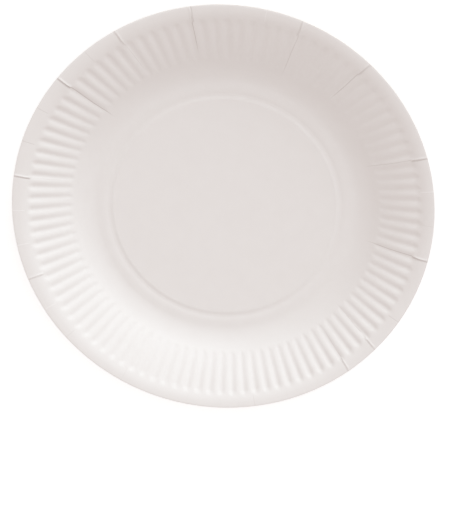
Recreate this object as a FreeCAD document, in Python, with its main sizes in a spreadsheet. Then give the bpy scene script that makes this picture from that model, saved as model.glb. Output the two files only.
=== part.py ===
import FreeCAD, Part

import os
from math import atan2, cos, degrees, radians, sin, sqrt, tan

import Sketcher
from FreeCAD import Vector

# Paper plate, pressed from one disc of coated board: a flat floor, a shallow ring that it stands on,
# a cove, a sloping wall with a band of flutes pressed into it, and a plain lip.
# Frame: the origin is under the middle of the plate, on the surface it stands on, +Z up.

doc = FreeCAD.newDocument("paper_plate")

# Driving dimensions, in millimetres and degrees, on the top face of the board. The widths are set
# out from the lip inwards, so every band follows the plate's diameter.
sizes = (
    ("plate_diameter", 230.0, "across the lip"),
    ("board", 0.45, "thickness of the board"),
    ("lip_width", 7.6, "from the edge to the shoulder, where the wall begins"),
    ("lip_slope", 12.0, "rise of the lip"),
    ("wall_width", 36.4, "from the shoulder to the start of the cove, cove included"),
    ("wall_slope", 25.0, "rise of the wall"),
    ("cove_bend", 18.0, "radius of the cove"),
    ("foot_inset", 6.0, "from the start of the cove to the middle of the foot"),
    ("foot_width", 1.4, "width of the flat that the plate stands on"),
    ("ring_depth", 0.3, "how far the foot is pressed below the floor"),
    ("ring_inner_slope", 12.0, "fall from the floor to the foot"),
    ("ring_outer_slope", 6.0, "rise from the foot to the shelf"),
    ("flute_count", 100, "flutes round the wall"),
    ("flute_margin", 1.8, "plain wall between the shoulder and the flutes"),
    ("flute_length", 19.6, "length of a flute, measured in plan"),
    ("flute_share", 0.5, "width of a flute as a share of its pitch"),
    ("flute_depth", 0.42, "depth of a flute below the wall"),
    ("flute_end_run", 0.4, "length over which a flute reaches its depth"),
)

# Radii that follow from them, each one reckoned from the band outside it.
SHOULDER = "Sizes.plate_diameter / 2 - Sizes.lip_width"
COVE_START = SHOULDER + " - Sizes.wall_width"
FOOT_MIDDLE = COVE_START + " - Sizes.foot_inset"
FOOT_INNER_EDGE = FOOT_MIDDLE + " - Sizes.foot_width / 2"
FLUTE_STOP = SHOULDER + " - Sizes.flute_margin"
FLUTE_START = FLUTE_STOP + " - Sizes.flute_length"

sheet = doc.addObject("Spreadsheet::Sheet", "Sizes")
for row, (alias, value, meaning) in enumerate(sizes, start=1):
    sheet.set(f"A{row}", alias)
    sheet.set(f"B{row}", str(value))
    sheet.set(f"C{row}", meaning)
    sheet.setAlias(f"B{row}", alias)
doc.recompute()

# Numbers that a sketch gives to its own origin and axes, and to the ends and centre of a line or arc.
ORIGIN, LEVEL, UPRIGHT = -1, -1, -2
START, END, CENTRE = 1, 2, 3

AXIS_POINT = Vector(0, 0, 0)
AXIS = Vector(0, 0, 1)
STRAIGHT_DOWN = radians(270)
QUARTERS = 4
SEWING_GAP = 0.02


def size(alias):
    return float(sheet.get(alias))


def radius_of(expression):
    return float(sheet.evalExpression(expression))


def constrain(sketch, *items):
    return sketch.addConstraint(Sketcher.Constraint(*items))


def bind(sketch, expression, kind, *items):
    """Adds a constraint with its value read from the sheet by an expression."""
    value = sheet.evalExpression(expression)
    value = value.getValueAs("rad").Value if kind == "Angle" else float(value)
    index = constrain(sketch, kind, *items, value)
    sketch.setExpression(f"Constraints[{index}]", expression)


def section_corners(below):
    """Corners of one face of the board from the axis outwards. below is its depth under the top face."""
    fall, rise = radians(size("ring_inner_slope")), radians(size("ring_outer_slope"))
    wall, lip = radians(size("wall_slope")), radians(size("lip_slope"))
    depth, half_foot = size("ring_depth"), size("foot_width") / 2
    foot_middle, cove_x = radius_of(FOOT_MIDDLE), radius_of(COVE_START)
    fall_shift, rise_shift = below * tan(fall / 2), below * tan(rise / 2)

    axis = Vector(0, -below, 0)
    foot_in = Vector(foot_middle - half_foot - fall_shift, -depth - below, 0)
    foot_out = Vector(foot_middle + half_foot + rise_shift, -depth - below, 0)
    fall_top = foot_in + Vector(-depth / tan(fall), depth, 0)
    rise_top = foot_out + Vector(depth / tan(rise), depth, 0)
    cove_start = Vector(cove_x, -below, 0)
    cove_centre = Vector(cove_x, size("cove_bend"), 0)
    cove_end = cove_centre + Vector(sin(wall), -cos(wall), 0) * (size("cove_bend") + below)
    turn = (wall - lip) / 2
    shoulder_x = radius_of(SHOULDER) + below * sin((wall + lip) / 2) / cos(turn)
    shoulder = cove_end + Vector(1, tan(wall), 0) * (shoulder_x - cove_end.x)
    lip_x = size("plate_diameter") / 2 - (size("board") - below) * sin(lip)
    lip_end = shoulder + Vector(1, tan(lip), 0) * (lip_x - shoulder.x)
    return axis, fall_top, foot_in, foot_out, rise_top, cove_start, cove_centre, cove_end, shoulder, lip_end


def draw_face(sketch, below):
    """Draws one face of the board, and returns the numbers of its lines and its arc."""
    axis, fall_top, foot_in, foot_out, rise_top, cove_start, cove_centre, cove_end, shoulder, lip_end = (
        section_corners(below))
    circle = Part.Circle(cove_centre, Vector(0, 0, 1), (cove_start - cove_centre).Length)
    cove = Part.ArcOfCircle(circle, STRAIGHT_DOWN, STRAIGHT_DOWN + radians(size("wall_slope")))
    curves = (
        Part.LineSegment(axis, fall_top),
        Part.LineSegment(fall_top, foot_in),
        Part.LineSegment(foot_in, foot_out),
        Part.LineSegment(foot_out, rise_top),
        Part.LineSegment(rise_top, cove_start),
        cove,
        Part.LineSegment(cove_end, shoulder),
        Part.LineSegment(shoulder, lip_end),
    )
    lines = [sketch.addGeometry(curve) for curve in curves]
    arc = lines[curves.index(cove)]
    for one, two in zip(lines, lines[1:]):
        tangent = arc in (one, two)
        constrain(sketch, "Tangent" if tangent else "Coincident", one, END, two, START)
    return lines


def draw_section(name):
    """The section of the board: the two faces, and the cut edge square to the lip."""
    sketch = doc.addObject("Sketcher::SketchObject", name)
    sketch.Placement = FreeCAD.Placement(AXIS_POINT, FreeCAD.Rotation(Vector(1, 0, 0), 90))
    top = draw_face(sketch, 0.0)
    under = draw_face(sketch, size("board"))

    floor, fall, foot, rise, shelf, cove, wall, lip = top
    constrain(sketch, "Coincident", floor, START, ORIGIN, START)
    for level in (floor, foot, shelf):
        constrain(sketch, "Horizontal", level)
    constrain(sketch, "PointOnObject", shelf, START, LEVEL)
    bind(sketch, "Sizes.ring_depth", "DistanceY", foot, START, ORIGIN, START)
    bind(sketch, FOOT_INNER_EDGE, "DistanceX", ORIGIN, START, foot, START)
    bind(sketch, "Sizes.foot_width", "DistanceX", foot, START, foot, END)
    bind(sketch, COVE_START, "DistanceX", ORIGIN, START, cove, START)
    bind(sketch, "Sizes.cove_bend", "Radius", cove)
    bind(sketch, SHOULDER, "DistanceX", ORIGIN, START, wall, END)
    bind(sketch, "-Sizes.ring_inner_slope * 1deg", "Angle", fall)
    bind(sketch, "Sizes.ring_outer_slope * 1deg", "Angle", rise)
    bind(sketch, "Sizes.wall_slope * 1deg", "Angle", wall)
    bind(sketch, "Sizes.lip_slope * 1deg", "Angle", lip)

    under_floor, under_fall, under_foot, under_rise, under_shelf, under_cove, under_wall, under_lip = under
    constrain(sketch, "PointOnObject", under_floor, START, UPRIGHT)
    for level in (under_floor, under_foot, under_shelf):
        constrain(sketch, "Horizontal", level)
    for one, two in ((fall, under_fall), (rise, under_rise), (wall, under_wall), (lip, under_lip)):
        constrain(sketch, "Parallel", one, two)
    for one, two in ((floor, under_floor), (fall, under_fall), (foot, under_foot), (rise, under_rise),
                     (lip, under_lip)):
        bind(sketch, "Sizes.board", "Distance", one, END, two)
    constrain(sketch, "Coincident", cove, CENTRE, under_cove, CENTRE)
    bind(sketch, "Sizes.cove_bend + Sizes.board", "Radius", under_cove)

    top_end, under_end = sketch.Geometry[lip].EndPoint, sketch.Geometry[under_lip].EndPoint
    edge = sketch.addGeometry(Part.LineSegment(under_end, top_end))
    constrain(sketch, "Coincident", under_lip, END, edge, START)
    constrain(sketch, "Coincident", edge, END, lip, END)
    constrain(sketch, "Perpendicular", edge, under_lip)
    bind(sketch, "Sizes.plate_diameter / 2", "DistanceX", ORIGIN, START, under_lip, END)
    return sketch, top, under, edge


def turned(point, angle):
    """The point carried round the plate's axis by an angle in degrees."""
    turn = radians(angle)
    x = point.x * cos(turn) - point.y * sin(turn)
    y = point.x * sin(turn) + point.y * cos(turn)
    return Vector(x, y, point.z)


def band(edge, start, stop):
    """The face that an edge of the section sweeps between two angles about the axis."""
    first = edge.copy()
    first.rotate(AXIS_POINT, AXIS, start)
    return first.revolve(AXIS_POINT, AXIS, stop - start)


def three_point_arc(one, middle, two):
    return Part.Arc(one, middle, two).toShape()


def circle_arc(point, start, stop):
    """The arc that a point of the section sweeps between two angles about the axis."""
    return three_point_arc(turned(point, start), turned(point, (start + stop) / 2), turned(point, stop))


class FlutedBand:
    """The flutes of one face of the board, on the wall between two points of the section."""

    def __init__(self, wall_start, wall_end, below):
        self.start, self.end = wall_start, wall_end
        self.along = (wall_end - wall_start).normalize()
        self.inwards = Vector(-self.along.z, 0, self.along.x)
        self.depth = size("flute_depth")
        self.run = size("flute_end_run")
        # A face that lies below the top one keeps the board's thickness round the bends at both ends.
        shift = below * tan(atan2(self.depth, self.run) / 2)
        start, stop = radius_of(FLUTE_START), radius_of(FLUTE_STOP)
        self.inner = start - shift
        self.outer = stop + shift
        self.pitch = 360 / size("flute_count")
        self.half = self.half_width((start + stop) / 2, below)

    def half_width(self, middle, below):
        """Half the angle that a flute takes up, wider on the underside by the board's thickness."""
        half = middle * radians(self.pitch * size("flute_share") / 2)
        radius = (half ** 2 + self.depth ** 2) / (2 * self.depth) + below
        return degrees(sqrt(radius ** 2 - (radius - self.depth) ** 2) / middle)

    def on_wall(self, radius, angle):
        point = self.start + self.along * ((radius - self.start.x) / self.along.x)
        return turned(point, angle)

    def low_point(self, radius, way, angle):
        """The lowest point of a flute at one of its ends. way is +1 at the inner end, -1 at the outer."""
        point = self.on_wall(radius, 0) + self.along * (way * self.run) - self.inwards * self.depth
        return turned(point, angle)

    def mouth(self, number):
        """The two angles between which a flute lies."""
        middle = number * self.pitch
        return middle - self.half, middle + self.half

    def flute(self, number):
        """A flute's hollow, its two end faces, and the flat ridge between it and the next flute."""
        left, right = self.mouth(number)
        next_left = self.mouth(number + 1)[0]
        faces, arcs = [], []
        for radius, way in ((self.inner, 1), (self.outer, -1)):
            one, two = self.on_wall(radius, left), self.on_wall(radius, right)
            arc = three_point_arc(one, self.low_point(radius, way, number * self.pitch), two)
            arcs.append(arc)
            faces.append(Part.Face(Part.Wire([arc, Part.makeLine(two, one)])))
        faces.append(Part.makeRuledSurface(*arcs))
        corners = [self.on_wall(self.inner, right), self.on_wall(self.inner, next_left),
                   self.on_wall(self.outer, next_left), self.on_wall(self.outer, right)]
        faces.append(Part.Face(Part.makePolygon(corners + corners[:1])))
        return faces

    def mouth_line(self, radius, first, last):
        """The straight stretches along the ends of the flutes from one to another."""
        points = []
        for number in range(first, last):
            points += [self.on_wall(radius, angle) for angle in self.mouth(number)]
        points.append(self.on_wall(radius, self.mouth(last)[0]))
        return [Part.makeLine(one, two) for one, two in zip(points, points[1:])]

    def wall_face(self, plain, radius, first, last):
        """The plain wall between the point plain of the section and the ends of the flutes."""
        start, stop = self.mouth(first)[0], self.mouth(last)[0]
        side = Part.makeLine(turned(plain, start), self.on_wall(radius, start))
        other = Part.makeLine(turned(plain, stop), self.on_wall(radius, stop))
        cone = side.revolve(AXIS_POINT, AXIS, stop - start).Surface
        edges = [circle_arc(plain, start, stop), other, side] + self.mouth_line(radius, first, last)
        face = Part.Face(cone, Part.Wire(Part.__sortEdges__(edges)))
        face.validate()
        return face


def pressed_face(edges, splits, below):
    """All faces of one side of the board, from the edges of its section."""
    floor, fall, foot, rise, shelf, cove, wall, lip = edges
    floor_end = floor.Vertexes[-1].Point
    wall_start, wall_end = wall.Vertexes[0].Point, wall.Vertexes[-1].Point
    fluted = FlutedBand(wall_start, wall_end, below)
    faces, floor_rim = [], []
    for first, last in zip(splits, splits[1:]):
        start, stop = fluted.mouth(first)[0], fluted.mouth(last)[0]
        faces += [band(edge, start, stop) for edge in (fall, foot, rise, shelf, cove, lip)]
        faces.append(fluted.wall_face(wall_start, fluted.inner, first, last))
        faces.append(fluted.wall_face(wall_end, fluted.outer, first, last))
        floor_rim.append(circle_arc(floor_end, start, stop))
        for number in range(first, last):
            faces += fluted.flute(number)
    faces.append(Part.Face(Part.Wire(floor_rim)))
    return faces, fluted


def pressed_board(section, top, under, edge):
    """The plate as one solid, with the top of its floor on the plane z = 0."""
    curves = [geometry.toShape() for geometry in section.Geometry]
    for curve in curves:
        curve.Placement = section.Placement
    flute_count = int(size("flute_count"))
    splits = [round(quarter * flute_count / QUARTERS) for quarter in range(QUARTERS + 1)]
    faces, top_band = pressed_face([curves[number] for number in top], splits, 0.0)
    faces += pressed_face([curves[number] for number in under], splits, size("board"))[0]
    for first, last in zip(splits, splits[1:]):
        faces.append(band(curves[edge], top_band.mouth(first)[0], top_band.mouth(last)[0]))
    skin = Part.makeCompound(faces)
    skin.sewShape(SEWING_GAP)
    if len(skin.Shells) != 1 or not skin.Shells[0].isClosed():
        raise RuntimeError("the faces of the plate don't close")
    solid = Part.Solid(skin.Shells[0])
    if solid.Volume < 0:
        solid.reverse()
    return solid


section, top, under, edge = draw_section("section")
doc.recompute()

plate = doc.addObject("Part::Feature", "paper_plate")
plate.Label = "paper_plate"
plate.Shape = pressed_board(section, top, under, edge)
# The plate stands on its foot.
plate.setExpression(".Placement.Base.z", "Sizes.ring_depth + Sizes.board")
doc.recompute()

for item in doc.Objects:
    if "Invalid" in item.State or "Error" in item.State:
        raise RuntimeError(f"{item.Label} failed: {item.State}")
if section.DoF or section.ConflictingConstraints or section.RedundantConstraints:
    raise RuntimeError("the section isn't fully and cleanly constrained")

os.makedirs("parts", exist_ok=True)
for item in (plate,):
    if item.Shape.isNull() or not item.Shape.isValid() or len(item.Shape.Solids) != 1:
        raise RuntimeError(f"{item.Label} isn't one valid solid")
    item.Shape.exportStep(f"parts/{item.Label}.step")
    box = item.Shape.BoundBox
    print(item.Label, "faces", len(item.Shape.Faces), "volume", round(item.Shape.Volume, 1),
          "box", [round(value, 3) for value in (box.XMin, box.YMin, box.ZMin, box.XMax, box.YMax, box.ZMax)])
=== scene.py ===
# %% [markdown]
# # A pressed paper plate
#
# This lesson dresses one paper plate. The real plate is a single disc of board, coated white on its top
# face and bare below. A heated pair of dies presses it once, and everything that the eye finds on it
# comes from that stroke: the ring that it stands on, the cove, the fluted wall, the plain lip, and the
# small pleats where the scored rim takes up its spare length.
#
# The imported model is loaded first. It fixes where the plate stands and how large it is, and nothing
# below moves or resizes it.

# %% Load the frame
import math

import bpy
import numpy as np
from mathutils import Matrix, Vector


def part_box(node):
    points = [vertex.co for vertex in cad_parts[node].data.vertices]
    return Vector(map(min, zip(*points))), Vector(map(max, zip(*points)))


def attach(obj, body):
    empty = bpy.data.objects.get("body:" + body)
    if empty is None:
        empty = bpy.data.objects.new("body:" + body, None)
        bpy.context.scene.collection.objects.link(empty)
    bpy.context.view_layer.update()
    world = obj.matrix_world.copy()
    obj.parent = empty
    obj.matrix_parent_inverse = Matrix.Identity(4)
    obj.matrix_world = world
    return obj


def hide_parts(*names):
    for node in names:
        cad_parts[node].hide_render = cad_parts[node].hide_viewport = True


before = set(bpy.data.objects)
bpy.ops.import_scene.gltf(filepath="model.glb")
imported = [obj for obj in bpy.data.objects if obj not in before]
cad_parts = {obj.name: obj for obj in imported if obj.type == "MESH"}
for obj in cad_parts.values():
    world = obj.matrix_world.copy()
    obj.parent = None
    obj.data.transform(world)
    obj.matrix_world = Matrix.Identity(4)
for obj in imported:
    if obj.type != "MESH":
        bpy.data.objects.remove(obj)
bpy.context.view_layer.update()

NODE = "paper_plate"
BODY = "root"
MM = 0.001

low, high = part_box(NODE)
PLATE_RADIUS = high.x
PLATE_HEIGHT = high.z
print("plate across", round(2 * PLATE_RADIUS / MM, 2), "mm, high", round(PLATE_HEIGHT / MM, 3), "mm")

# %% [markdown]
# ## The section of the board
#
# Every circle of the plate is pressed by a turned die, so one curve from the axis to the rim describes
# it. It could be drawn as a spline, but a press tool is made of flats and arcs, and the light on the
# board shows where one ends. Here the curve is given by its corners. Each corner has a bend radius and
# the tilt of the board after it. In a round bend the sine of the tilt grows evenly with the distance
# from the axis, so a straight interpolation of that sine gives flats and true arcs at once. The tangent
# of the tilt, summed outwards, gives the height. The cove has two bends, tight and then wide. The wall is
# never quite straight: it springs back a little out of the press, and it turns over into the lip in two
# slow bends.

# %% Corners and bends, from the axis outwards
BOARD = 0.45 * MM
RING_DEPTH = 0.3 * MM
RING_RISE_HEIGHT = 0.24 * MM
FLOOR_HEIGHT = BOARD + RING_DEPTH

FOOT_IN = 64.3 * MM
FOOT_OUT = 65.7 * MM
RING_FALL = math.radians(-9.5)
RING_RISE = math.radians(8.0)
COVE_START = 71.0 * MM
LIP_TILT = math.radians(4.6)

LIP_END = PLATE_RADIUS - BOARD * math.sin(LIP_TILT)
RING_IN = FOOT_IN - RING_DEPTH / math.tan(-RING_FALL)
RING_OUT = FOOT_OUT + RING_RISE_HEIGHT / math.tan(RING_RISE)

# Each row: where the corner is, the radius of its bend, and the tilt after it.
BENDS = (
    (RING_IN, 3.0 * MM, RING_FALL),
    (FOOT_IN, 2.5 * MM, 0.0),
    (FOOT_OUT, 2.0 * MM, RING_RISE),
    (RING_OUT, 22.0 * MM, 0.0),
    (73.55 * MM, 20.0 * MM, math.radians(14.1)),
    (80.6 * MM, 32.8 * MM, math.radians(31.0)),
    (87.3 * MM, 80.0 * MM, math.radians(27.4)),
    (98.3 * MM, 158.0 * MM, math.radians(20.5)),
    (110.4 * MM, 17.5 * MM, math.radians(9.2)),
    (113.4 * MM, 29.0 * MM, LIP_TILT),
)


def bend_knots():
    """Radii at which the sine of the tilt starts or stops changing, and the sine there."""
    radii, sines = [0.0], [0.0]
    for corner, bend, tilt in BENDS:
        before, after = sines[-1], math.sin(tilt)
        half = bend * abs(after - before) / 2
        radii += [corner - half, corner + half]
        sines += [before, after]
    return radii + [LIP_END], sines + [sines[-1]]


FINE_STEPS = 12000
KNOT_RADII, KNOT_SINES = bend_knots()
FINE_RADII = np.linspace(0.0, LIP_END, FINE_STEPS + 1)
FINE_SLOPES = np.tan(np.arcsin(np.interp(FINE_RADII, KNOT_RADII, KNOT_SINES)))
FINE_RISES = np.diff(FINE_RADII) * (FINE_SLOPES[1:] + FINE_SLOPES[:-1]) / 2
FINE_HEIGHTS = FLOOR_HEIGHT + np.concatenate(([0.0], np.cumsum(FINE_RISES)))
print("lip ends at", round(FINE_HEIGHTS[-1] / MM, 3), "mm above the table")


def section(radius):
    """Height of the top face at a radius, and the sine of the board's tilt there."""
    return np.interp(radius, FINE_RADII, FINE_HEIGHTS), np.interp(radius, KNOT_RADII, KNOT_SINES)


# %% [markdown]
# ## The flutes
#
# A hundred grooves stiffen the wall. The board has nowhere to go but inwards when the wall is drawn up, so
# they are deepest at the top of the wall, where the most is to be taken up, and they run out softly
# towards the cove. A Boolean cut would need a hundred tools, and an array of ribs would leave seams. The
# board is one skin, so the grooves are a depth that is worked out at every point of the mesh: a wave
# round the plate, times a share that grows along the wall. The board can't turn sharply, so the wave is
# round at the ridge and in the hollow, and the hollow is a little the narrower of the two. A blank seldom
# lies quite true in the press, so the flutes and the bends of the lip have a centre of their own, not
# quite a millimetre off the middle of the disc.

# %% Depth of the flutes
FLUTE_COUNT = 100
FLUTE_START = 86.2 * MM
FLUTE_STOP = 106.4 * MM
FLUTE_DEPTH = 0.62 * MM
FLUTE_SHARE_AT_START = 0.42
# The lengths over which the flutes come in at the cove and run out at the lip.
START_RUN = 3.2 * MM
STOP_RUN = 3.8 * MM
END_ROUND = 0.8 * MM
# Above 1 the hollows are narrower than the ridges.
WAVE_POWER = 1.2
PRESS_CENTRE = Vector((0.74, -0.27)) * MM


def smooth_step(value, start, stop):
    """0 before start, 1 after stop, and a soft turn between. start may be the larger."""
    share = np.clip((value - start) / (stop - start), 0.0, 1.0)
    return share * share * (3 - 2 * share)


def press_offset(angle):
    """How much nearer to the middle of the press a point lies than to the middle of the disc."""
    return PRESS_CENTRE.x * np.cos(angle) + PRESS_CENTRE.y * np.sin(angle)


def flute_depth(radius, angle):
    """How far the board is pressed in by a flute at each point."""
    aside = PRESS_CENTRE.y * np.cos(angle) - PRESS_CENTRE.x * np.sin(angle)
    turn = angle - aside / np.maximum(radius, FLUTE_START)
    radius = radius - press_offset(angle)
    wave = (0.5 + 0.5 * np.cos(FLUTE_COUNT * turn)) ** WAVE_POWER
    # The hollow reaches further than the ridge beside it, which gives each flute a round end.
    reach = END_ROUND * (wave - 0.5)
    start = smooth_step(radius + reach, FLUTE_START - START_RUN / 2, FLUTE_START + START_RUN / 2)
    stop = smooth_step(radius - reach, FLUTE_STOP + STOP_RUN / 2, FLUTE_STOP - STOP_RUN / 2)
    along = np.clip((radius - FLUTE_START) / (FLUTE_STOP - FLUTE_START), 0.0, 1.0)
    growth = FLUTE_SHARE_AT_START + (1 - FLUTE_SHARE_AT_START) * along
    return FLUTE_DEPTH * wave * growth * start * stop


print("flutes from", round(FLUTE_START / MM, 1), "to", round(FLUTE_STOP / MM, 1), "mm from the axis")

# %% [markdown]
# ## Score marks and pleats
#
# The rim of the flat disc is scored every 10 degrees before it is pressed. When the wall rises, the rim
# has more board than its smaller circle can hold, and it folds at some of those marks. Most stay faint
# lines on the lip. Eleven become pleats: a narrow welt on the lip and, at ten of them, a thin crack that
# runs on down the wall and crosses the flutes. They could be painted, but the welt catches the light, so
# it is modelled, and the crack is a fine groove that also leaves a mask for the material. The mask darkens
# the crack, partly for the tan board that shows in it and partly as painted shade, paints shade into the
# groove beside each welt and into the open scores, and paints a highlight on the closed scores.

# %% Where the marks are and what they do
MARK_COUNT = 36
MARK_PITCH = 2 * math.pi / MARK_COUNT
MARK_PHASE = math.radians(2.7)
# The marks point at a place about a millimetre off the middle of the disc.
SCORE_CENTRE = Vector((0.9, -0.5)) * MM
LIP_START = 108.0 * MM

# Each pleat: where its crack ends and the height of its welt, both in mm, the side of the groove beside
# the welt (1 is towards the next mark), the lean of the line in degrees, and how open the crack is.
PLEATS = {
    1: (80.0, 0.24, -1, 0.5, 0.55),
    4: (84.0, 0.16, -1, 0.3, 0.70),
    6: (81.0, 0.14, 1, -0.1, 0.55),
    9: (88.0, 0.22, -1, 0.1, 0.85),
    11: (87.0, 0.16, 1, -0.6, 0.45),
    13: (78.0, 0.26, 1, 0.3, 1.00),
    16: (87.0, 0.24, 1, 0.4, 0.25),
    19: (104.0, 0.16, 1, 0.0, 0.20),
    30: (86.0, 0.15, -1, 0.6, 0.40),
    31: (82.0, 0.15, -1, 0.8, 0.50),
    34: (80.0, 0.24, -1, -0.2, 0.85),
}
# The scores that show, and how plainly. A score below zero has closed up again and stands a little proud.
# The rest are hardly to be seen.
SCORES = {0: -0.9, 7: -0.5, 12: 0.6, 14: 0.7, 15: 0.9, 17: -0.7, 18: -0.9, 20: -0.6, 21: 0.5, 23: 0.3,
          27: 0.5, 32: 1.0, 35: 0.4}
FAINT_SCORE = 0.1

rng = np.random.default_rng(7)
# No line of the board runs quite straight: each wanders a little along its length, in a slow wave and a
# quick one. Each wave has a width and a length, and each mark starts both at a place of its own.
SLOW_WAVE = (0.08 * MM, 3.1 * MM)
QUICK_WAVE = (0.03 * MM, 0.9 * MM)
WANDER = rng.uniform(0, 2 * math.pi, (MARK_COUNT, 2))
# The middle point of the plate has no angle, so it is reckoned as if it lay here.
LEAST_RADIUS = 1.0 * MM


def mark_angle(number, radius):
    """The angle at which a mark crosses the circle of a radius."""
    line = MARK_PHASE + number * MARK_PITCH
    aside = SCORE_CENTRE.y * math.cos(line) - SCORE_CENTRE.x * math.sin(line)
    lean = math.radians(PLEATS[number][3]) if number in PLEATS else 0.0
    wander = sum(width * np.sin(radius / length + phase)
                 for (width, length), phase in zip((SLOW_WAVE, QUICK_WAVE), WANDER[number]))
    turn = (aside + wander) / np.maximum(radius, LEAST_RADIUS)
    return line + turn + lean * (LIP_START - radius) / (LIP_START - FLUTE_START)


print("marks", MARK_COUNT, "of which pleats", len(PLEATS), "and scores that show", len(SCORES))

# %% Relief of the marks
# Radii between which the welts and the scores come in.
WELT_GROWS = (106.0 * MM, 107.0 * MM)
SCORE_GROWS = (107.0 * MM, 109.5 * MM)
# Distances from the rim between which a welt falls to the share of its height that it has there.
WELT_FADES = (0.3 * MM, 2.0 * MM)
WELT_SHARE_AT_RIM = 0.3
WELT_HALF = 0.5 * MM
GROOVE_OFFSET = 0.8 * MM
GROOVE_HALF = 0.3 * MM
GROOVE_SHARE = 0.5
CRACK_DEPTH = 0.07 * MM
CRACK_OFFSET = 0.3 * MM
CRACK_RUN_OUT = 9.0 * MM
CRACK_HALF_CLOSED = 0.088 * MM
CRACK_HALF_OPEN = 0.143 * MM
SCORE_DEPTH = 0.06 * MM
SCORE_HALF = 0.16 * MM
# Painted shade in the groove beside a welt, for each mm of its welt; painted shade in an open score; and a
# painted highlight on a closed one.
GROOVE_PAINTED_SHADE = 2.2
SCORE_PAINTED_SHADE = 0.4
CLOSED_SCORE_PAINTED_HIGHLIGHT = 0.8
MARK_REACH = 2.0 * MM


def bump(across, half):
    """A round ridge of height 1 across a line."""
    return np.exp(-(across / half) ** 2)


def pleat_relief(number, radius, across):
    """Rise near one pleat, and its mask of cracked coating and painted shade."""
    end, welt, side, lean, openness = PLEATS[number]
    end, welt_height = end * MM, welt * MM
    on_lip = smooth_step(radius, *WELT_GROWS)
    off_rim = smooth_step(PLATE_RADIUS - radius, *WELT_FADES)
    groove = bump(across - side * GROOVE_OFFSET, GROOVE_HALF)
    hump = (bump(across, WELT_HALF) - GROOVE_SHARE * groove) * on_lip
    along = smooth_step(radius, end, end + CRACK_RUN_OUT) * smooth_step(radius, LIP_END, LIP_START)
    half = CRACK_HALF_CLOSED + (CRACK_HALF_OPEN - CRACK_HALF_CLOSED) * openness
    line = openness * bump(across - side * CRACK_OFFSET * on_lip, half) * along
    fade = WELT_SHARE_AT_RIM + (1 - WELT_SHARE_AT_RIM) * off_rim
    rise = welt_height * hump * fade - CRACK_DEPTH * line
    # The crack is darker partly for the tan board and partly as painted shade, and the groove beside the
    # welt gets painted shade.
    return rise, np.maximum(line, GROOVE_PAINTED_SHADE * welt * groove * on_lip)


def score_relief(number, radius, across):
    """Rise near one score that has not become a pleat, and its mask of painted shade and highlight."""
    strength = SCORES.get(number, FAINT_SCORE)
    outwards = smooth_step(radius, *WELT_GROWS) * smooth_step(radius, *SCORE_GROWS)
    line = bump(across, SCORE_HALF) * outwards * strength
    # An open score gets painted shade and a closed one a painted highlight.
    return -SCORE_DEPTH * line, (SCORE_PAINTED_SHADE if strength > 0 else CLOSED_SCORE_PAINTED_HIGHLIGHT) * line


def mark_relief(radius, angle):
    """How far the marks raise the board, and their mask: cracked coating and painted shade above 0, painted
    highlight below.
    """
    rise = np.zeros_like(radius)
    crack = np.zeros_like(radius)
    for number in range(MARK_COUNT):
        turn = angle - mark_angle(number, radius)
        across = radius * ((turn + math.pi) % (2 * math.pi) - math.pi)
        near = np.abs(across) < MARK_REACH
        if not near.any():
            continue
        relief = pleat_relief if number in PLEATS else score_relief
        more_rise, more_crack_and_painted_light = relief(number, radius[near], across[near])
        rise[near] += more_rise
        crack[near] += more_crack_and_painted_light
    return rise, crack


print("welts up to", max(pleat[1] for pleat in PLEATS.values()), "mm high")

# %% [markdown]
# ## The mesh
#
# The plate is a set of rings of points. The floor needs few, and the fluted wall needs many, so each band
# of the section has its own set of angles. Two neighbouring rings with different sets are laced with
# triangles. The angles crowd together at each mark, where the surface turns most. The underside is made
# in the same way with fewer rings, pushed down square to the section by the thickness of the board, and a
# narrow strip joins the two faces at the cut edge.

# %% Rings of points
TOP, UNDERSIDE, CUT_EDGE = 0, 1, 2
# Each pair is a count on the top face and one on the underside, which is less fine.
ROWS = {"floor": (7, 7), "ring": (30, 20), "cove": (14, 8), "flute ends": (11, 6), "flutes": (6, 3),
        "lip": (8, 5)}
COLUMNS = {"floor": (120, 120), "ring": (240, 240), "cove": (400, 300),
           "wall": (10 * FLUTE_COUNT, 6 * FLUTE_COUNT), "lip": (720, 500)}
# Degrees to each side of a mark at which there are points.
MARK_COLUMNS = (-0.62, -0.42, -0.27, -0.17, -0.10, -0.05, 0.0, 0.05, 0.10, 0.17, 0.27, 0.42, 0.62)
CLEAR_OF_MARK = 1.15
FIRST_RING = 8.0 * MM
RING_APPROACH = 1.5 * MM
WALL_APPROACH = 2.2 * MM
FLUTE_END_HALF = 2.0 * MM
WALL_MIDDLE = 92.0 * MM
LIP_MIDDLE = 111.0 * MM


def even_angles(count):
    """Angles all round the plate, from 0."""
    return np.arange(count) * 2 * math.pi / count


def crowd(angles, marks, columns):
    """The angles, with those near a mark replaced by a close set round it."""
    columns = np.radians(columns)
    kept, added = angles % (2 * math.pi), []
    for mark in marks:
        gap = np.abs((kept - mark + math.pi) % (2 * math.pi) - math.pi)
        kept = kept[gap > columns[-1] * CLEAR_OF_MARK]
        added.append((mark + columns) % (2 * math.pi))
    return np.sort(np.concatenate([kept] + added))


def spread(start, stop, count):
    """Even radii from start up to, but without, stop."""
    return list(np.linspace(start, stop, count, endpoint=False))


def flute_rows(ends, between):
    """Radii through the fluted wall, close together over the ends of the flutes."""
    inner = spread(FLUTE_START - WALL_APPROACH, FLUTE_START + FLUTE_END_HALF, ends)
    middle = spread(FLUTE_START + FLUTE_END_HALF, FLUTE_STOP - FLUTE_END_HALF, between)
    return inner + middle + spread(FLUTE_STOP - FLUTE_END_HALF, FLUTE_STOP + FLUTE_END_HALF, ends)


PLEAT_MARKS = [mark_angle(number, WALL_MIDDLE) for number in PLEATS]
ALL_MARKS = [mark_angle(number, LIP_MIDDLE) for number in range(MARK_COUNT)]
RIM_ROWS = [LIP_END - 0.5 * MM, LIP_END - 0.2 * MM, LIP_END]


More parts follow.
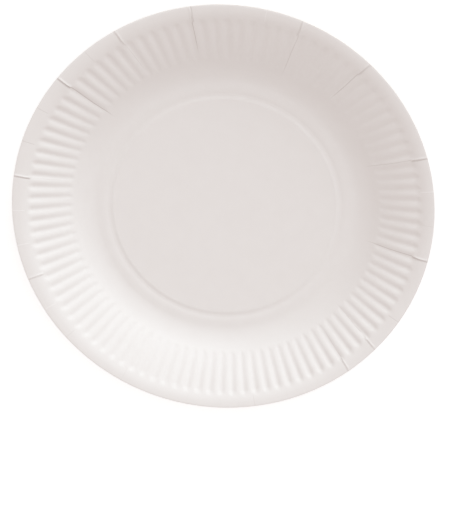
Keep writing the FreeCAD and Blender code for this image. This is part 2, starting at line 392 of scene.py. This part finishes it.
def bands_of_face(finish):
    """Name, radii and angles of each band of one face."""
    rows = {band: counts[finish] for band, counts in ROWS.items()}
    columns = {band: even_angles(counts[finish]) for band, counts in COLUMNS.items()}
    if finish == TOP:
        for band in ("cove", "wall"):
            columns[band] = crowd(columns[band], PLEAT_MARKS, MARK_COLUMNS)
    close = MARK_COLUMNS if finish == TOP else MARK_COLUMNS[::3]
    columns["lip"] = crowd(columns["lip"], ALL_MARKS, close)
    radii = {
        "floor": spread(FIRST_RING, RING_IN - RING_APPROACH, rows["floor"]),
        "ring": spread(RING_IN - RING_APPROACH, COVE_START, rows["ring"]),
        "cove": spread(COVE_START, FLUTE_START - WALL_APPROACH, rows["cove"]),
        "wall": flute_rows(rows["flute ends"], rows["flutes"]),
        "lip": spread(FLUTE_STOP + FLUTE_END_HALF, RIM_ROWS[0], rows["lip"]) + RIM_ROWS,
    }
    return [(band, radii[band], columns[band]) for band in radii]


print("rings on the top face", sum(len(radii) for band, radii, angles in bands_of_face(TOP)))

# %% Points of one face
# The coated face rolls over a little at the rim, where the blank was cut.
ROLL_DEPTH = 0.10 * MM
ROLL_WIDTH = 0.5 * MM
# Radii between which the centre of the section moves from the disc's to the press's.
SHIFT_GROWS = (100.0 * MM, 107.0 * MM)
WARP = 0.12 * MM
# Each wave of the warp: its height, its count round the plate, and where it starts.
WARP_WAVES = ((1.0, 2, 0.6), (0.6, 5, 2.1), (0.4, 9, 4.0))
WARP_SUM = sum(height for height, count, phase in WARP_WAVES)


def warp(radius, angle):
    """The slow wander of a plate that has cooled out of the press, always downwards from true."""
    share = (radius / PLATE_RADIUS) ** 2
    waves = sum(height * np.sin(count * angle + phase) for height, count, phase in WARP_WAVES)
    return WARP * share * (WARP_SUM + waves) / (2 * WARP_SUM)


def face_points(radius, angle, below):
    """Places of points a distance below the top face (0 on it), and the mask of cracked coating and painted
    light.
    """
    height, sine = section(radius - press_offset(angle) * smooth_step(radius, *SHIFT_GROWS))
    cosine = np.sqrt(1 - sine ** 2)
    rise, crack = mark_relief(radius, angle)
    if below:
        rise, crack = rise / 2, crack * 0
    roll = ROLL_DEPTH * np.clip((radius - LIP_END + ROLL_WIDTH) / ROLL_WIDTH, 0, 1) ** 2
    depth = below + flute_depth(radius, angle) - rise + (0.0 if below else roll)
    place = np.minimum(radius + depth * sine, PLATE_RADIUS)
    level = height - depth * cosine - warp(radius, angle) * (radius > COVE_START)
    return np.stack((place * np.cos(angle), place * np.sin(angle), level), axis=-1), crack


# %% Lacing rings together
class Skin:
    """Points and faces of the board, collected ring by ring."""

    def __init__(self):
        self.points, self.cracks, self.faces, self.finishes = [], [], [], []
        self.count = 0

    def ring(self, radius, angles, below):
        """Adds one ring of points. Gives back the number of its first point, and its angles."""
        points, crack = face_points(np.full(len(angles), radius), angles, below)
        first = self.count
        self.points.append(points)
        self.cracks.append(crack)
        self.count += len(points)
        return first, angles

    def face(self, corners, flip, finish):
        self.faces.append(corners[::-1] if flip else corners)
        self.finishes.append(finish)

    def lace(self, inner, outer, flip, finish):
        """Faces between two rings, four-cornered where their angles agree and triangles elsewhere."""
        (first, one), (second, two) = inner, outer
        if len(one) == len(two) and np.allclose(one, two):
            for step in range(len(one)):
                after = (step + 1) % len(one)
                self.face((first + step, second + step, second + after, first + after), flip, finish)
            return
        step, other = 0, 0
        while step < len(one) or other < len(two):
            here, there = step % len(one), other % len(two)
            next_one = one[step + 1] if step + 1 < len(one) else one[0] + 2 * math.pi
            next_two = two[other + 1] if other + 1 < len(two) else two[0] + 2 * math.pi
            if other >= len(two) or (step < len(one) and next_one <= next_two):
                self.face((first + here, second + there, first + (step + 1) % len(one)), flip, finish)
                step += 1
            else:
                self.face((first + here, second + there, second + (other + 1) % len(two)), flip, finish)
                other += 1


skin = Skin()


def press_face(below, finish):
    """One whole face of the board. Gives back its outermost ring."""
    flip = finish == UNDERSIDE
    middle = skin.ring(0.0, np.zeros(1), below)[0]
    last = None
    for name, radii, angles in bands_of_face(finish):
        print(name, len(radii), "rings of", len(angles))
        for radius in radii:
            ring = skin.ring(radius, angles, below)
            if last is None:
                for step in range(len(angles)):
                    after = (step + 1) % len(angles)
                    skin.face((middle, ring[0] + step, ring[0] + after), flip, finish)
            else:
                skin.lace(last, ring, flip, finish)
            last = ring
    return last


top_rim = press_face(0.0, TOP)
under_rim = press_face(BOARD, UNDERSIDE)
skin.lace(top_rim, under_rim, False, CUT_EDGE)
print("points", skin.count, "faces", len(skin.faces))

# %% The plate as an object
mesh = bpy.data.meshes.new("pressed_board")
mesh.from_pydata(np.concatenate(skin.points).tolist(), [], skin.faces)
mesh.polygons.foreach_set("material_index", skin.finishes)
mesh.polygons.foreach_set("use_smooth", [True] * len(skin.faces))
# The mask darkens cracks, partly for the tan board and partly as painted shade, paints shade into grooves
# and open scores, and paints a highlight on closed scores.
crack_and_painted_light_mask = mesh.attributes.new("crack", "FLOAT", "POINT")
crack_and_painted_light_mask.data.foreach_set("value", np.concatenate(skin.cracks))
# 0 on the top face and 1 on the underside, so that the cut edge knows how deep in the board it is.
top_count = top_rim[0] + len(top_rim[1])
through = mesh.attributes.new("through", "FLOAT", "POINT")
through.data.foreach_set("value", (np.arange(skin.count) >= top_count).astype(float))
mesh.validate()
mesh.update()
plate = bpy.data.objects.new("pressed_plate", mesh)
bpy.context.scene.collection.objects.link(plate)
print("triangles", sum(len(face.vertices) - 2 for face in mesh.polygons))

# The rim of the cut edge is a crisp corner.
sharp = mesh.attributes.new("sharp_edge", "BOOLEAN", "EDGE")
rim_points = set(range(top_rim[0], top_count)) | set(range(under_rim[0], skin.count))
sharp.data.foreach_set("value", [set(edge.vertices) <= rim_points for edge in mesh.edges])

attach(plate, BODY)
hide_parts(NODE)

# %% [markdown]
# ## Shared effects
#
# All three finishes are the same board, so they share two effects. Mottle is the slow change of tone
# that the coating and the pulp have over a few millimetres. Tooth is the fine unevenness of the
# surface, felt more than seen. Each is a node group with its own inputs, placed in a material with its
# own values.

# %% Helpers for nodes
def node(tree, kind, **values):
    """Adds a node and sets its own values."""
    made = tree.nodes.new(kind)
    for name, value in values.items():
        setattr(made, name, value)
    return made


def new_group(name, inputs, outputs):
    """A shader node group with its sockets. Each socket is a name, a kind and, for an input, a value."""
    tree = bpy.data.node_groups.new(name, "ShaderNodeTree")
    for title, kind, value in inputs:
        socket = tree.interface.new_socket(title, in_out="INPUT", socket_type=kind)
        socket.default_value = value
    for title, kind in outputs:
        tree.interface.new_socket(title, in_out="OUTPUT", socket_type=kind)
    return tree, node(tree, "NodeGroupInput"), node(tree, "NodeGroupOutput")


# %% Mottle: a colour that wanders between two tones
def make_mottle():
    tree, given, result = new_group(
        "board_mottle",
        [("Light tone", "NodeSocketColor", (1, 1, 1, 1)),
         ("Dark tone", "NodeSocketColor", (0.9, 0.9, 0.9, 1)),
         ("Patches per metre", "NodeSocketFloat", 120.0)],
        [("Colour", "NodeSocketColor"), ("Tone", "NodeSocketFloat")])
    place = node(tree, "ShaderNodeTexCoord")
    slow = node(tree, "ShaderNodeTexNoise", noise_dimensions="3D")
    slow.inputs["Detail"].default_value = 5.0
    slow.inputs["Roughness"].default_value = 0.62
    mix = node(tree, "ShaderNodeMix", data_type="RGBA")
    tree.links.new(place.outputs["Object"], slow.inputs["Vector"])
    tree.links.new(given.outputs["Patches per metre"], slow.inputs["Scale"])
    tree.links.new(slow.outputs["Fac"], mix.inputs["Factor"])
    tree.links.new(given.outputs["Light tone"], mix.inputs["A"])
    tree.links.new(given.outputs["Dark tone"], mix.inputs["B"])
    tree.links.new(mix.outputs["Result"], result.inputs["Colour"])
    tree.links.new(slow.outputs["Fac"], result.inputs["Tone"])
    return tree


# %% Tooth: the height of the paper's fine surface
def make_tooth():
    tree, given, result = new_group(
        "board_tooth",
        [("Grains per metre", "NodeSocketFloat", 2500.0), ("Fibres per metre", "NodeSocketFloat", 500.0),
         ("Fibre share", "NodeSocketFloat", 0.4)],
        [("Height", "NodeSocketFloat")])
    place = node(tree, "ShaderNodeTexCoord")
    grain = node(tree, "ShaderNodeTexNoise", noise_dimensions="3D")
    grain.inputs["Detail"].default_value = 3.0
    fibre = node(tree, "ShaderNodeTexNoise", noise_dimensions="3D")
    fibre.inputs["Detail"].default_value = 4.0
    fibre.inputs["Distortion"].default_value = 1.2
    mix = node(tree, "ShaderNodeMix", data_type="FLOAT")
    tree.links.new(place.outputs["Object"], grain.inputs["Vector"])
    tree.links.new(place.outputs["Object"], fibre.inputs["Vector"])
    tree.links.new(given.outputs["Grains per metre"], grain.inputs["Scale"])
    tree.links.new(given.outputs["Fibres per metre"], fibre.inputs["Scale"])
    tree.links.new(given.outputs["Fibre share"], mix.inputs["Factor"])
    tree.links.new(grain.outputs["Fac"], mix.inputs["A"])
    tree.links.new(fibre.outputs["Fac"], mix.inputs["B"])
    tree.links.new(mix.outputs["Result"], result.inputs["Height"])
    return tree


mottle = make_mottle()
tooth = make_tooth()
print("shared effects", mottle.name, "and", tooth.name)

# %% [markdown]
# ## Three finishes
#
# The top face is coated: smooth, white, with a low satin sheen. The underside is the bare board, warmer
# and quite matt. The cut edge shows the middle of the board, tan, with the coating as a fine white line
# along its upper side.

# %% Helpers for the finishes
def new_material(name):
    """A material with its node tree and its main shader."""
    material = bpy.data.materials.new(name)
    material.use_nodes = True
    shader = material.node_tree.nodes["Principled BSDF"]
    return material, material.node_tree, shader


def place_mottle(tree, light, dark, patches):
    """Places the wandering tone in a material."""
    made = node(tree, "ShaderNodeGroup", node_tree=mottle)
    made.inputs["Light tone"].default_value = (*light, 1)
    made.inputs["Dark tone"].default_value = (*dark, 1)
    made.inputs["Patches per metre"].default_value = patches
    return made


def place_tooth(tree, shader, grains, fibres, share, depth):
    """Feeds the paper's fine height into the shader's normal."""
    made = node(tree, "ShaderNodeGroup", node_tree=tooth)
    made.inputs["Grains per metre"].default_value = grains
    made.inputs["Fibres per metre"].default_value = fibres
    made.inputs["Fibre share"].default_value = share
    lift = node(tree, "ShaderNodeBump")
    lift.inputs["Strength"].default_value = 1.0
    lift.inputs["Distance"].default_value = depth
    tree.links.new(made.outputs["Height"], lift.inputs["Height"])
    tree.links.new(lift.outputs["Normal"], shader.inputs["Normal"])


def ranged(tree, source, low_value, high_value):
    """Maps a tone from 0..1 to a range."""
    made = node(tree, "ShaderNodeMapRange")
    made.inputs["To Min"].default_value = low_value
    made.inputs["To Max"].default_value = high_value
    tree.links.new(source, made.inputs["Value"])
    return made.outputs["Result"]


# %% Coated top face
COAT_LIGHT = (0.835, 0.820, 0.805)
COAT_DARK = (0.805, 0.785, 0.768)
# The tone of a crack: partly the tan board under the coating and partly painted shade. It also paints shade
# into the groove beside a welt and into an open score.
CRACK_AND_PAINTED_SHADE_TONE = (0.50, 0.45, 0.42)
# A painted highlight on a closed score.
PAINTED_HIGHLIGHT_TONE = (0.95, 0.945, 0.94)
COAT_ROUGHNESS = (0.42, 0.58)


def make_coated():
    material, tree, shader = new_material("coated_white_face")
    tone = place_mottle(tree, COAT_LIGHT, COAT_DARK, patches=90.0)
    # The mask is above 0 in a crack, in the groove beside a welt and in an open score, and below 0 on a
    # closed score, so each sign feeds a mix of its own. The first paints a highlight on closed scores; the
    # second darkens cracks, partly for the tan board and partly as painted shade, and paints shade into
    # grooves and open scores.
    mask = node(tree, "ShaderNodeAttribute", attribute_name="crack")
    closed_score_highlight = node(tree, "ShaderNodeMath", operation="MULTIPLY")
    closed_score_highlight.inputs[1].default_value = -1.0
    light = node(tree, "ShaderNodeMix", data_type="RGBA")
    light.inputs["B"].default_value = (*PAINTED_HIGHLIGHT_TONE, 1)
    dark = node(tree, "ShaderNodeMix", data_type="RGBA")
    dark.inputs["B"].default_value = (*CRACK_AND_PAINTED_SHADE_TONE, 1)
    tree.links.new(mask.outputs["Fac"], closed_score_highlight.inputs[0])
    tree.links.new(closed_score_highlight.outputs[0], light.inputs["Factor"])
    tree.links.new(tone.outputs["Colour"], light.inputs["A"])
    tree.links.new(mask.outputs["Fac"], dark.inputs["Factor"])
    tree.links.new(light.outputs["Result"], dark.inputs["A"])
    tree.links.new(dark.outputs["Result"], shader.inputs["Base Color"])
    tree.links.new(ranged(tree, tone.outputs["Tone"], *COAT_ROUGHNESS), shader.inputs["Roughness"])
    shader.inputs["Specular IOR Level"].default_value = 0.45
    place_tooth(tree, shader, grains=3200.0, fibres=600.0, share=0.35, depth=0.03 * MM)
    return material


# %% Bare underside
BARE_LIGHT = (0.80, 0.72, 0.61)
BARE_DARK = (0.70, 0.60, 0.48)
BARE_ROUGHNESS = (0.78, 0.95)


def make_bare():
    material, tree, shader = new_material("bare_board_face")
    tone = place_mottle(tree, BARE_LIGHT, BARE_DARK, patches=220.0)
    tree.links.new(tone.outputs["Colour"], shader.inputs["Base Color"])
    tree.links.new(ranged(tree, tone.outputs["Tone"], *BARE_ROUGHNESS), shader.inputs["Roughness"])
    shader.inputs["Specular IOR Level"].default_value = 0.25
    place_tooth(tree, shader, grains=2400.0, fibres=450.0, share=0.55, depth=0.08 * MM)
    return material


# %% Cut edge
CUT_LIGHT = (0.74, 0.62, 0.47)
CUT_DARK = (0.62, 0.49, 0.35)
CUT_ROUGHNESS = (0.85, 1.0)
# Shares of the board's thickness between which the white coating gives way to the tan board.
COAT_LINE = (0.10, 0.22)


def make_cut():
    material, tree, shader = new_material("cut_board_edge")
    tone = place_mottle(tree, CUT_LIGHT, CUT_DARK, patches=900.0)
    deep = node(tree, "ShaderNodeAttribute", attribute_name="through")
    bare = node(tree, "ShaderNodeMapRange")
    bare.inputs["From Min"].default_value, bare.inputs["From Max"].default_value = COAT_LINE
    mix = node(tree, "ShaderNodeMix", data_type="RGBA")
    mix.inputs["A"].default_value = (*COAT_LIGHT, 1)
    tree.links.new(deep.outputs["Fac"], bare.inputs["Value"])
    tree.links.new(bare.outputs["Result"], mix.inputs["Factor"])
    tree.links.new(tone.outputs["Colour"], mix.inputs["B"])
    tree.links.new(mix.outputs["Result"], shader.inputs["Base Color"])
    tree.links.new(ranged(tree, tone.outputs["Tone"], *CUT_ROUGHNESS), shader.inputs["Roughness"])
    shader.inputs["Specular IOR Level"].default_value = 0.2
    place_tooth(tree, shader, grains=6000.0, fibres=1500.0, share=0.5, depth=0.06 * MM)
    return material


for finish in (make_coated(), make_bare(), make_cut()):
    mesh.materials.append(finish)
print("finishes", [finish.name for finish in mesh.materials])

# %% [markdown]
# ## Table, light and camera
#
# The plate lies on a plain pale table. The camera looks down on it at the angle of the photograph. A low
# soft lamp stands beyond the picture's upper right, so that the wall there is the darkest and the wall
# opposite is the brightest, and the flutes show their sides. A weaker and broader one stands high on the
# same side, and an even sky fills the rest. The sky is a little warm and the lamps are a little cool,
# which gives white board its warm shade.

# %% Light paths that see the background
def seen_directly(tree):
    """1 for rays from the camera, from gloss and through glass, and 0 for rays that light the object."""
    path = node(tree, "ShaderNodeLightPath")
    first = node(tree, "ShaderNodeMath", operation="MAXIMUM")
    second = node(tree, "ShaderNodeMath", operation="MAXIMUM")
    tree.links.new(path.outputs["Is Camera Ray"], first.inputs[0])
    tree.links.new(path.outputs["Is Glossy Ray"], first.inputs[1])
    tree.links.new(first.outputs[0], second.inputs[0])
    tree.links.new(path.outputs["Is Transmission Ray"], second.inputs[1])
    return second.outputs[0]


# %% Table
TABLE_HALF = 20.0
TABLE_TONE = (0.5, 0.5, 0.5)
TABLE_GLOW = 0.68


def make_table():
    corners = [(x * TABLE_HALF, y * TABLE_HALF, 0.0) for x, y in ((-1, -1), (1, -1), (1, 1), (-1, 1))]
    surface = bpy.data.meshes.new("table")
    surface.from_pydata(corners, [], [(0, 1, 2, 3)])
    table = bpy.data.objects.new("table", surface)
    bpy.context.scene.collection.objects.link(table)
    material, tree, shader = new_material("pale_table")
    shader.inputs["Base Color"].default_value = (*TABLE_TONE, 1)
    shader.inputs["Roughness"].default_value = 1.0
    shader.inputs["Specular IOR Level"].default_value = 0.0
    glow = node(tree, "ShaderNodeMath", operation="MULTIPLY")
    glow.inputs[1].default_value = TABLE_GLOW
    tree.links.new(seen_directly(tree), glow.inputs[0])
    shader.inputs["Emission Color"].default_value = (1, 1, 1, 1)
    tree.links.new(glow.outputs[0], shader.inputs["Emission Strength"])
    surface.materials.append(material)


make_table()
print("table", 2 * TABLE_HALF, "m across, base tone", TABLE_TONE)

# %% Sky
SKY_TONE = (1.0, 0.905, 0.88)
SKY_LEVEL = 0.74


def make_sky():
    world = bpy.data.worlds.new("studio")
    bpy.context.scene.world = world
    world.use_nodes = True
    tree = world.node_tree
    fill = tree.nodes["Background"]
    fill.inputs["Color"].default_value = (*SKY_TONE, 1)
    fill.inputs["Strength"].default_value = SKY_LEVEL
    white = node(tree, "ShaderNodeBackground")
    white.inputs["Color"].default_value = (1, 1, 1, 1)
    white.inputs["Strength"].default_value = 1.0
    mix = node(tree, "ShaderNodeMixShader")
    tree.links.new(seen_directly(tree), mix.inputs["Fac"])
    tree.links.new(fill.outputs[0], mix.inputs[1])
    tree.links.new(white.outputs[0], mix.inputs[2])
    tree.links.new(mix.outputs[0], tree.nodes["World Output"].inputs["Surface"])


make_sky()
print("sky tone", SKY_TONE, "level", SKY_LEVEL)

# %% Lamps
# Each row: name, azimuth, elevation and softness in degrees, tone and level.
LAMPS = (
    ("key", 55.0, 16.0, 30.0, (0.82, 0.95, 1.0), 1.62),
    ("fill", 57.0, 60.0, 60.0, (0.82, 0.95, 1.0), 0.35),
)


def towards(azimuth, elevation):
    """The unit vector that points there from the plate."""
    return Vector((math.cos(azimuth) * math.cos(elevation), math.sin(azimuth) * math.cos(elevation),
                   math.sin(elevation)))


def make_lamp(name, azimuth, elevation, softness, tone, level):
    data = bpy.data.lights.new(name, "SUN")
    data.angle = math.radians(softness)
    data.energy = level
    data.color = tone
    lamp = bpy.data.objects.new(name, data)
    bpy.context.scene.collection.objects.link(lamp)
    lamp.rotation_mode = "QUATERNION"
    direction = towards(math.radians(azimuth), math.radians(elevation))
    lamp.rotation_quaternion = direction.to_track_quat("Z", "Y")
    lamp.location = direction


for row in LAMPS:
    make_lamp(*row)
print("lamps", [row[0] for row in LAMPS])

# %% [markdown]
# The photograph is cropped: its optical axis lies off the middle of the picture. The small shift of the
# camera keeps that, so that the far and the near wall have the widths that they have there.

# %% Camera
CAMERA_AIM = Vector((27.7, 14.3, 0.0)) * MM
CAMERA_AZIMUTH = math.radians(78.93)
CAMERA_ELEVATION = math.radians(73.89)
CAMERA_DISTANCE = 547.8 * MM
PICTURE_TOP = math.radians(84.52)
LENS = 69.4
SHIFT = (-0.0914, -0.1485)


def make_camera():
    back = towards(CAMERA_AZIMUTH, CAMERA_ELEVATION)
    side = towards(PICTURE_TOP, 0.0).cross(back).normalized()
    up = back.cross(side)
    data = bpy.data.cameras.new("camera")
    data.lens = LENS
    data.shift_x, data.shift_y = SHIFT
    data.clip_start, data.clip_end = 0.01, 50.0
    camera = bpy.data.objects.new("camera", data)
    bpy.context.scene.collection.objects.link(camera)
    turn = Matrix((side, up, back)).transposed().to_4x4()
    camera.matrix_world = Matrix.Translation(CAMERA_AIM + back * CAMERA_DISTANCE) @ turn
    bpy.context.scene.camera = camera
    return camera


camera = make_camera()
bpy.context.scene.view_settings.view_transform = "Standard"
print("camera", round(camera.location.length / MM), "mm from the origin, lens", LENS, "mm")
